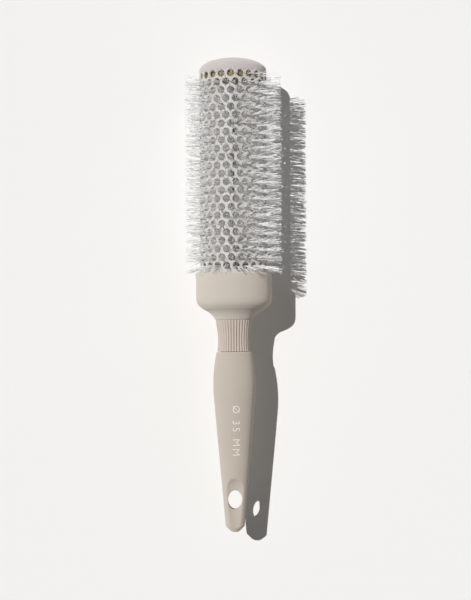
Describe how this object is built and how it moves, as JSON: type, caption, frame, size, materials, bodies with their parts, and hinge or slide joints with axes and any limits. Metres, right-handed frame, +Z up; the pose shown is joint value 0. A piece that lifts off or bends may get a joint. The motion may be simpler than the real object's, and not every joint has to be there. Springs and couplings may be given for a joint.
{
  "type": "round thermal brush",
  "caption": "Round thermal styling brush: vented barrel with flared bristle rows, domed cap, wide collar, ribbed neck and tapered handle with a hanging hole.",
  "frame": {"origin": "centre of the footprint, on the surface that the brush lies on, under the middle of its length", "axes": "+Z up, +Y along the barrel towards the domed end cap, -Y towards the handle's tip, +X across; the brush lies on its bristles"},
  "size_m": [0.0516, 0.247, 0.0515],
  "materials": {
    "barrel_coat": "satin",
    "cap_plastic": "matte",
    "heat_plastic": "matte",
    "core_steel": "satin",
    "bristle_nylon": "satin",
    "ferrule_brass": "satin",
    "fixing_steel": "satin",
    "handle_plastic": "matte",
    "stem_plastic": "matte",
    "neck_rubber": "matte"
  },
  "bodies": {
    "root": {"barrel_tube": "barrel_coat", "end_cap": "cap_plastic", "end_plug": "heat_plastic", "core_wire_a": "core_steel", "core_wire_b": "core_steel", "bristle_row_01": "bristle_nylon", "bristle_row_02": "bristle_nylon", "bristle_row_03": "bristle_nylon", "bristle_row_04": "bristle_nylon", "bristle_row_05": "bristle_nylon", "bristle_row_06": "bristle_nylon", "bristle_row_07": "bristle_nylon", "bristle_row_08": "bristle_nylon", "bristle_row_09": "bristle_nylon", "bristle_row_10": "bristle_nylon", "bristle_row_11": "bristle_nylon", "bristle_row_12": "bristle_nylon", "bristle_row_13": "bristle_nylon", "bristle_row_14": "bristle_nylon", "bristle_row_15": "bristle_nylon", "bristle_row_16": "bristle_nylon", "bristle_row_17": "bristle_nylon", "bristle_row_18": "bristle_nylon", "bristle_row_19": "bristle_nylon", "bristle_row_20": "bristle_nylon", "bristle_row_21": "bristle_nylon", "bristle_row_22": "bristle_nylon", "bristle_row_23": "bristle_nylon", "bristle_row_24": "bristle_nylon", "wire_ferrule": "ferrule_brass", "barrel_hub": "heat_plastic", "barrel_pins": "fixing_steel", "hub_screws": "fixing_steel", "collar": "handle_plastic", "stem": "stem_plastic", "neck_sleeve": "neck_rubber", "handle_body": "handle_plastic"}
  },
  "joints": []
}
